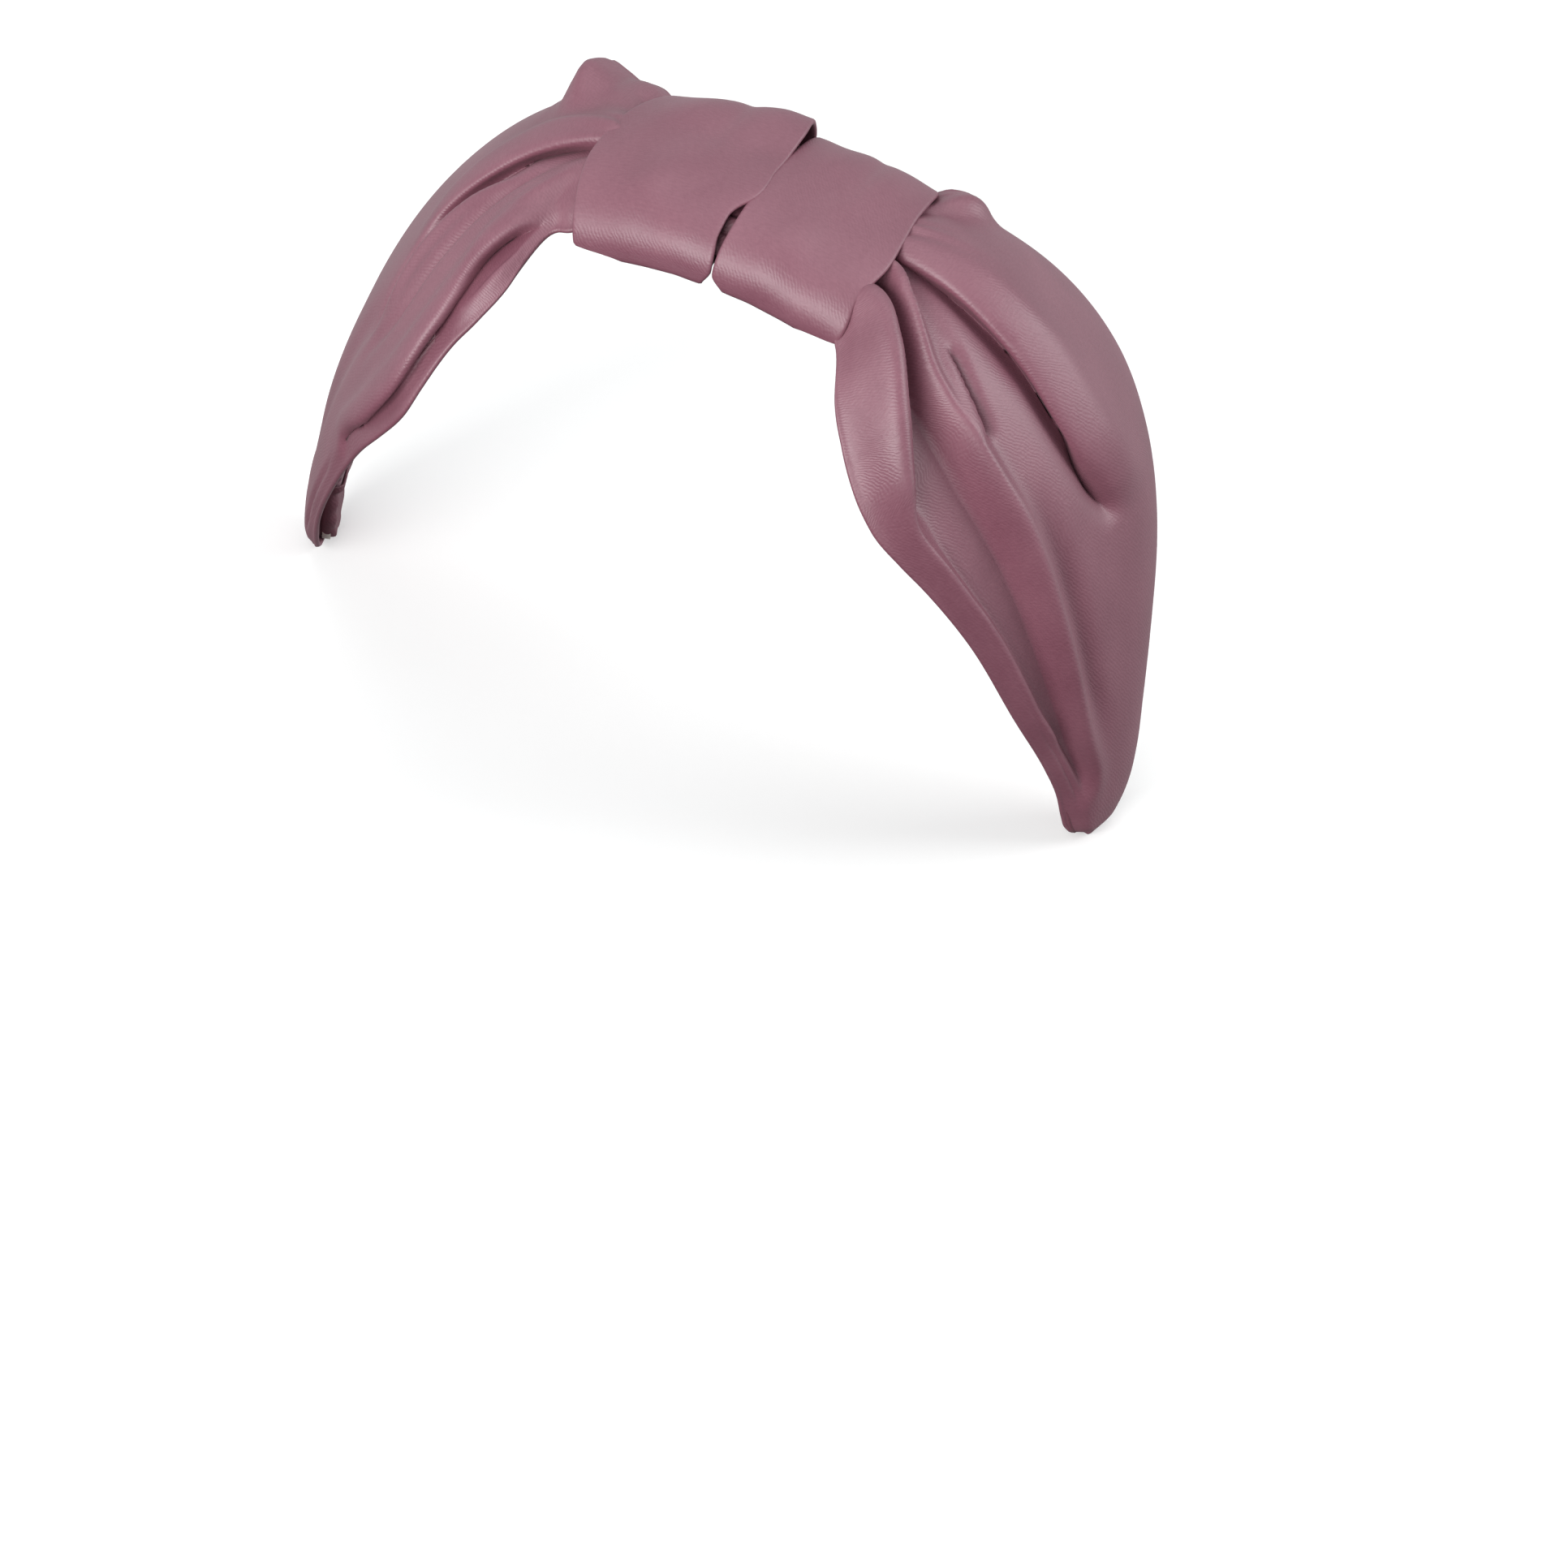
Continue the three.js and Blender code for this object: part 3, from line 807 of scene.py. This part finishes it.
RIBBON_THICK = 0.6
BINDING_RISE = 2.1  # the ribbon's edges turn up round the plastic
BINDING_CORNER = 0.8
ARM_RIBBON_START = 27
ARM_RIBBON_MIDDLE = 1.35
ARM_RIBBON_HALF_WIDTH = 5.9
CROWN_RIBBON_END = 29.2  # short enough to stay clear as the arms close
CROWN_RIBBON_MIDDLE = 0.35


def ribbon_section(middle, half_width):
    """across and out of the ribbon: flat on the head, its edges turned up round the hoop."""
    flat = half_width - BINDING_CORNER
    turn = np.linspace(0, np.pi / 2, 7)[1:-1]
    corner_across = flat + BINDING_CORNER * np.sin(turn)
    corner_out = BINDING_CORNER * (1 - np.cos(turn))
    rear_across = np.concatenate([[0, flat], corner_across, [half_width] * 3])
    rear_out = np.concatenate([[0, 0], corner_out, np.linspace(BINDING_CORNER, BINDING_RISE, 3)])
    across = np.concatenate([-rear_across[:0:-1], rear_across])
    return across, middle + np.concatenate([rear_out[:0:-1], rear_out])


def add_arm_ribbon(side):
    across, out = ribbon_section(ARM_RIBBON_MIDDLE, ARM_RIBBON_HALF_WIDTH)
    reach = np.linspace(ARM_RIBBON_START, POCKET_START + 1, 200)[:, None]
    piece = add_strip(f"ribbon_{side}", on_hoop(SIDES[side] * reach, across, out), RIBBON_THICK,
                      RIBBON_LOOK)
    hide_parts(f"lining_{side}")
    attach(piece, f"{side}_arm")


def add_crown_ribbon():
    along = np.linspace(-CROWN_RIBBON_END, CROWN_RIBBON_END, 121)[:, None]
    across = np.linspace(-RIBBON_HALF_WIDTH, RIBBON_HALF_WIDTH, 21)
    piece = add_strip("ribbon_crown", on_hoop(along, across, CROWN_RIBBON_MIDDLE), RIBBON_THICK,
                      RIBBON_LOOK)
    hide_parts("lining_crown")
    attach(piece, "crown")


POCKET_START = ARM_LENGTH - 16
POCKET_END = ARM_LENGTH + 0.6
POCKET_HALF_WIDTH = [(POCKET_START, 6.1), (129.5, 4.9), (134.5, 3.5), (136.4, 2.7),
                     (137.5, 1.8), (POCKET_END, 0.7)]
POCKET_TOP = 3.75
POCKET_THICK = 0.5
POCKET_OVER_RIBBON = 0.62  # it starts this much nearer the head, on top of the ribbon's end
POCKET_TURN = 137.1  # from here its floor turns out round the end of the plastic
POCKET_END_RISE = 2.1
POCKET_SIDE_START = 0.62  # the share of the half section where the side wall begins
POCKET_FULL_WIDTH = 0.78
POCKET_SHIFT = 0.8  # the tip leans to the rear, under the middle of the satin


def add_tip_pocket(side):
    """The wing's end, folded round the tip of the plastic and back over the ribbon."""
    reach = np.linspace(POCKET_START, POCKET_END, 90)[:, None]
    half_width = smooth(POCKET_HALF_WIDTH, reach)
    over_ribbon = POCKET_OVER_RIBBON * (1 - ramp(reach, POCKET_START + 1.2, POCKET_START + 2.2))
    end_rise = POCKET_END_RISE * ramp(reach, POCKET_TURN, POCKET_END + 0.4)
    floor = ARM_RIBBON_MIDDLE - over_ribbon + end_rise
    turn = np.linspace(-1, 1, 41)[None, :]
    side_wall = ramp(np.abs(turn), POCKET_SIDE_START, 1)
    across = half_width * np.sign(turn) * np.minimum(np.abs(turn) / POCKET_FULL_WIDTH, 1)
    across = across * (1 - 0.12 * ramp(np.abs(turn), 0.85, 1))
    across = across + POCKET_SHIFT * ramp(reach, 130, 136.5)
    out = floor + (POCKET_TOP - floor) * side_wall
    puckers = 0.12 * np.sin(reach * 1.3 + 5 * turn) * (1 - side_wall)
    piece = add_strip(f"tip_pocket_{side}", on_hoop(SIDES[side] * reach, across, out + puckers),
                      # the pocket takes the darker satin, painted shade
                      POCKET_THICK, SATIN_PAINTED_SHADE)
    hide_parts(f"tip_fold_{side}")
    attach(piece, f"{side}_arm")


# ---- knot -------------------------------------------------------------------------------

KNOT_HALF_WIDTH = 20.4
KNOT_HEIGHT = 11.2
KNOT_UNDER = 1.0
WRAP_THICK = 1.0
WRAP_ROWS = 190
WRAP_COLUMNS = 61


def wrap_section(count):
    """across and out round a wrap's outer face: rear, top, front and under, as in the CAD."""
    half, under, top = KNOT_HALF_WIDTH, KNOT_UNDER, KNOT_HEIGHT
    flat, shoulder = 0.7 * half, (top - under) / 2
    curves = [
        [(flat, under), (half, under), (half, under), (half, under + shoulder / 2)],
        [(half, under + shoulder / 2), (half, top - shoulder / 2), (flat, top), (0, top)],
        [(0, top), (-flat, top), (-half, top - shoulder / 2), (-half, under + shoulder / 2)],
        [(-half, under + shoulder / 2), (-half, under), (-half, under), (-flat, under)],
    ]
    t = np.linspace(0, 1, 60, endpoint=False)[:, None]
    rounds = [bezier(t, *np.array(curve, float)) for curve in curves]
    base = np.linspace((-flat, under), (flat, under), 30, endpoint=False)
    points = np.concatenate([*rounds, base])
    ends = np.concatenate([points, points[:1]])
    length = np.concatenate([[0], np.cumsum(np.linalg.norm(np.diff(ends, axis=0), axis=1))])
    at = np.linspace(0, length[-1], count, endpoint=False)
    return np.stack([np.interp(at, length, ends[:, k]) for k in (0, 1)], axis=1)


# Edges of the two wraps where they lie on top, as (across, along), and under the hoop.
WRAPS = {
    "right": {
        "from": [(-20.4, -22.2), (-18, -22.4), (-12, -23.2), (-6, -23.8), (4, -23.4), (13, -21.5),
                 (20.4, -20)],
        "to": [(-20.4, 1), (-17, 0.3), (-14, 0.3), (-11.5, 1), (-9.5, 2.2), (0, 2.7), (10, 2.8),
               (16, 2), (20.4, 1.2)],
        "under": (-13, -0.5),
        "raise": 0.35,  # of its edge at the slit
        "rear_lift": 2.8,
    },
    "left": {
        "from": [(-20.4, 2.2), (-16, 2.5), (-12, 2.7), (-9.5, 2.75), (0, 3.2), (13, 3.5),
                 (20.4, 3.4)],
        "to": [(-20.4, 24.2), (-16, 23.2), (-8, 24), (-2, 23.6), (7, 23), (15, 23),
               (20.4, 22.5)],
        "under": (4.3, 16),
        "raise": 0,
        "rear_lift": 0,
    },
}


def wrap_folds(side, across, share):
    """The soft folds on top of a wrap, and a pinched line along it."""
    sag = np.sin(np.pi * share)
    folds = 0.34 * np.sin(share * 7.5 + across / 9 + SIDES[side]) * sag
    folds = folds + 0.2 * np.sin(share * 13 - across / 5) * sag
    pinch = -0.35 * np.exp(-(((share - 0.55) / 0.07) ** 2)) * ramp(across, -18, 6)
    return folds + pinch * sag


def add_wrap(side):
    wrap = WRAPS[side]
    section = wrap_section(WRAP_ROWS)
    across, out = section[:, :1], section[:, 1:]
    under = 1 - ramp(out, KNOT_UNDER + 0.3, KNOT_UNDER + 3.2)
    on_top = 1 - under
    first = smooth(wrap["from"], across) * (1 - under) + wrap["under"][0] * under
    last = smooth(wrap["to"], across) * (1 - under) + wrap["under"][1] * under
    share = np.linspace(0, 1, WRAP_COLUMNS)[None, :]
    along = first + (last - first) * share
    lift = wrap_folds(side, across, share) + wrap["raise"] * share**3
    height = out + lift * on_top - WRAP_THICK / 2
    height = np.where(out < KNOT_UNDER + 0.3, out + WRAP_THICK / 2, height)
    height = height + wrap["rear_lift"] * ramp(share, 0, 0.8) * ramp(across, 2, 17) * on_top
    height = height - head_curl(across)
    width = across * (1 - WRAP_THICK / 2 / KNOT_HALF_WIDTH)
    piece = add_strip(f"knot_band_{side}", on_hoop(along, width, height), WRAP_THICK, SATIN,
                      closed=True)
    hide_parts(f"knot_wrap_{side}")
    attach(piece, "crown")


GATHER_SHARE = 0.84  # of the knot's width
GATHER_EDGE = 4.8
GATHER_RISE = 3.6
GATHER_FOLDS = (5, 8, 11, 15)
GATHER_FOLD_HEIGHT = 0.22


def add_gather():
    """The gathered middle of the satin, from wing to wing under the wraps."""
    along = np.linspace(0.3 - NECK_END, NECK_END - 0.3, 120)[:, None]
    share = np.linspace(-1, 1, 121)[None, :]
    across = GATHER_SHARE * KNOT_HALF_WIDTH * share * np.ones_like(along)
    height = GATHER_EDGE + GATHER_RISE * (1 - np.abs(share) ** 3) - head_curl(across)
    random = np.random.default_rng(PLEAT_SEED)
    for count in GATHER_FOLDS:
        phase = random.uniform(0, 2 * np.pi)
        height = height + GATHER_FOLD_HEIGHT * np.sin(count * 3 * share + phase + along / 14)
    # the gather takes the darker satin, painted shade
    piece = add_strip("knot_gather", on_hoop(along, across, height), SATIN_THICK, SATIN_PAINTED_SHADE)
    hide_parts("knot_throat")
    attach(piece, "crown")


# ---- stage ------------------------------------------------------------------------------


def add_light(name, place, target, size, power, colour=(1, 1, 1)):
    data = bpy.data.lights.new(name, "AREA")
    data.shape = "RECTANGLE"
    data.size, data.size_y = size
    data.energy = power
    data.color = colour
    lamp = bpy.data.objects.new(name, data)
    bpy.context.scene.collection.objects.link(lamp)
    lamp.location = place
    lamp.rotation_euler = (Vector(target) - Vector(place)).to_track_quat("-Z", "Y").to_euler()


FLOOR_HALF_WIDTH = 3.0
FLOOR_GAP = 0.0002
HEAD_SHADE = 0.14  # the share of the room's light that passes the head under a worn band
ROOM_STRENGTH = 0.72
ROOM_SIDE_FALL = -0.12  # the room is a little darker to the wearer's left

# The room's light by height, from straight below, 0, to straight above, 1.
ROOM = (
    (0.3, (0.7, 0.7, 0.7, 1)),
    (0.5, (0.9, 0.9, 0.92, 1)),
    (0.6, (1, 1, 1, 1)),
    (0.7, (0.92, 0.93, 0.95, 1)),
    (0.82, (0.5, 0.51, 0.52, 1)),
    (0.95, (0.34, 0.35, 0.36, 1)),
)


def add_floor():
    lowest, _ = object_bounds()
    half = FLOOR_HALF_WIDTH
    mesh = bpy.data.meshes.new("floor")
    mesh.from_pydata([(-half, -half, 0), (half, -half, 0), (half, half, 0), (-half, half, 0)],
                     [], [(0, 1, 2, 3)])
    mesh.materials.append(floor_material())
    floor = bpy.data.objects.new("floor", mesh)
    bpy.context.scene.collection.objects.link(floor)
    floor.location.z = lowest.z - FLOOR_GAP
    floor.visible_diffuse = False  # the head under a worn band keeps the floor's light off it
    floor.visible_glossy = False


def add_room():
    """A pale room, dimmed below and in front, where the head would stand in its light."""
    world = bpy.data.worlds.new("studio")
    bpy.context.scene.world = world
    world.use_nodes = True
    nodes, links = world.node_tree.nodes, world.node_tree.links
    background = nodes["Background"]
    direction = nodes.new("ShaderNodeTexCoord")
    parts = nodes.new("ShaderNodeSeparateXYZ")
    links.new(direction.outputs["Generated"], parts.inputs["Vector"])
    height = maths(nodes, links, "ADD", maths(nodes, links, "MULTIPLY", parts.outputs["Z"], 0.5), 0.5)
    links.new(colours(nodes, links, height, *ROOM), background.inputs["Color"])
    below = maths(nodes, links, "MULTIPLY", parts.outputs["Z"], -0.8)
    ahead = maths(nodes, links, "MULTIPLY", parts.outputs["Y"], -0.6)
    towards_head = maths(nodes, links, "ADD", below, ahead)
    unblocked = colours(nodes, links, towards_head, (0.15, (1, 1, 1, 1)),
                        (0.6, (HEAD_SHADE, HEAD_SHADE, HEAD_SHADE, 1)))
    leftwards = maths(nodes, links, "MULTIPLY", parts.outputs["X"], ROOM_SIDE_FALL)
    open_side = maths(nodes, links, "ADD", leftwards, ROOM_STRENGTH)
    links.new(maths(nodes, links, "MULTIPLY", unblocked, open_side), background.inputs["Strength"])


def add_stage():
    bpy.context.scene.view_settings.view_transform = "Standard"
    add_floor()
    add_room()
    centre = (0, 0, -0.04)
    add_light("window", (-0.15, -1.2, 0.5), centre, (0.9, 0.7), 17, (1, 0.99, 0.98))
    add_light("fill", (1.0, 0.55, 0.6), centre, (0.6, 0.9), 8)
    add_light("overhead", (-0.1, 0.2, 1.3), centre, (1.2, 1.2), 5)


# ---- putting it together ------------------------------------------------------------------


def dress_cad_node(node, material):
    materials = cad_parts[node].data.materials
    materials.clear()
    materials.append(material)


for side in SIDES:
    add_wing_satin(side)
    add_wing_lining(side)
    add_wadding(side)
    add_tip_pocket(side)
for side in SIDES:
    add_arm_ribbon(side)
add_crown_ribbon()
add_gather()
for side in WRAPS:
    add_wrap(side)

for node in ("band_core_crown", "band_core_left", "band_core_right"):
    dress_cad_node(node, PLASTIC_LOOK)
for node in ("knot_tack_front", "knot_tack_rear"):
    dress_cad_node(node, THREAD_LOOK)

add_stage()
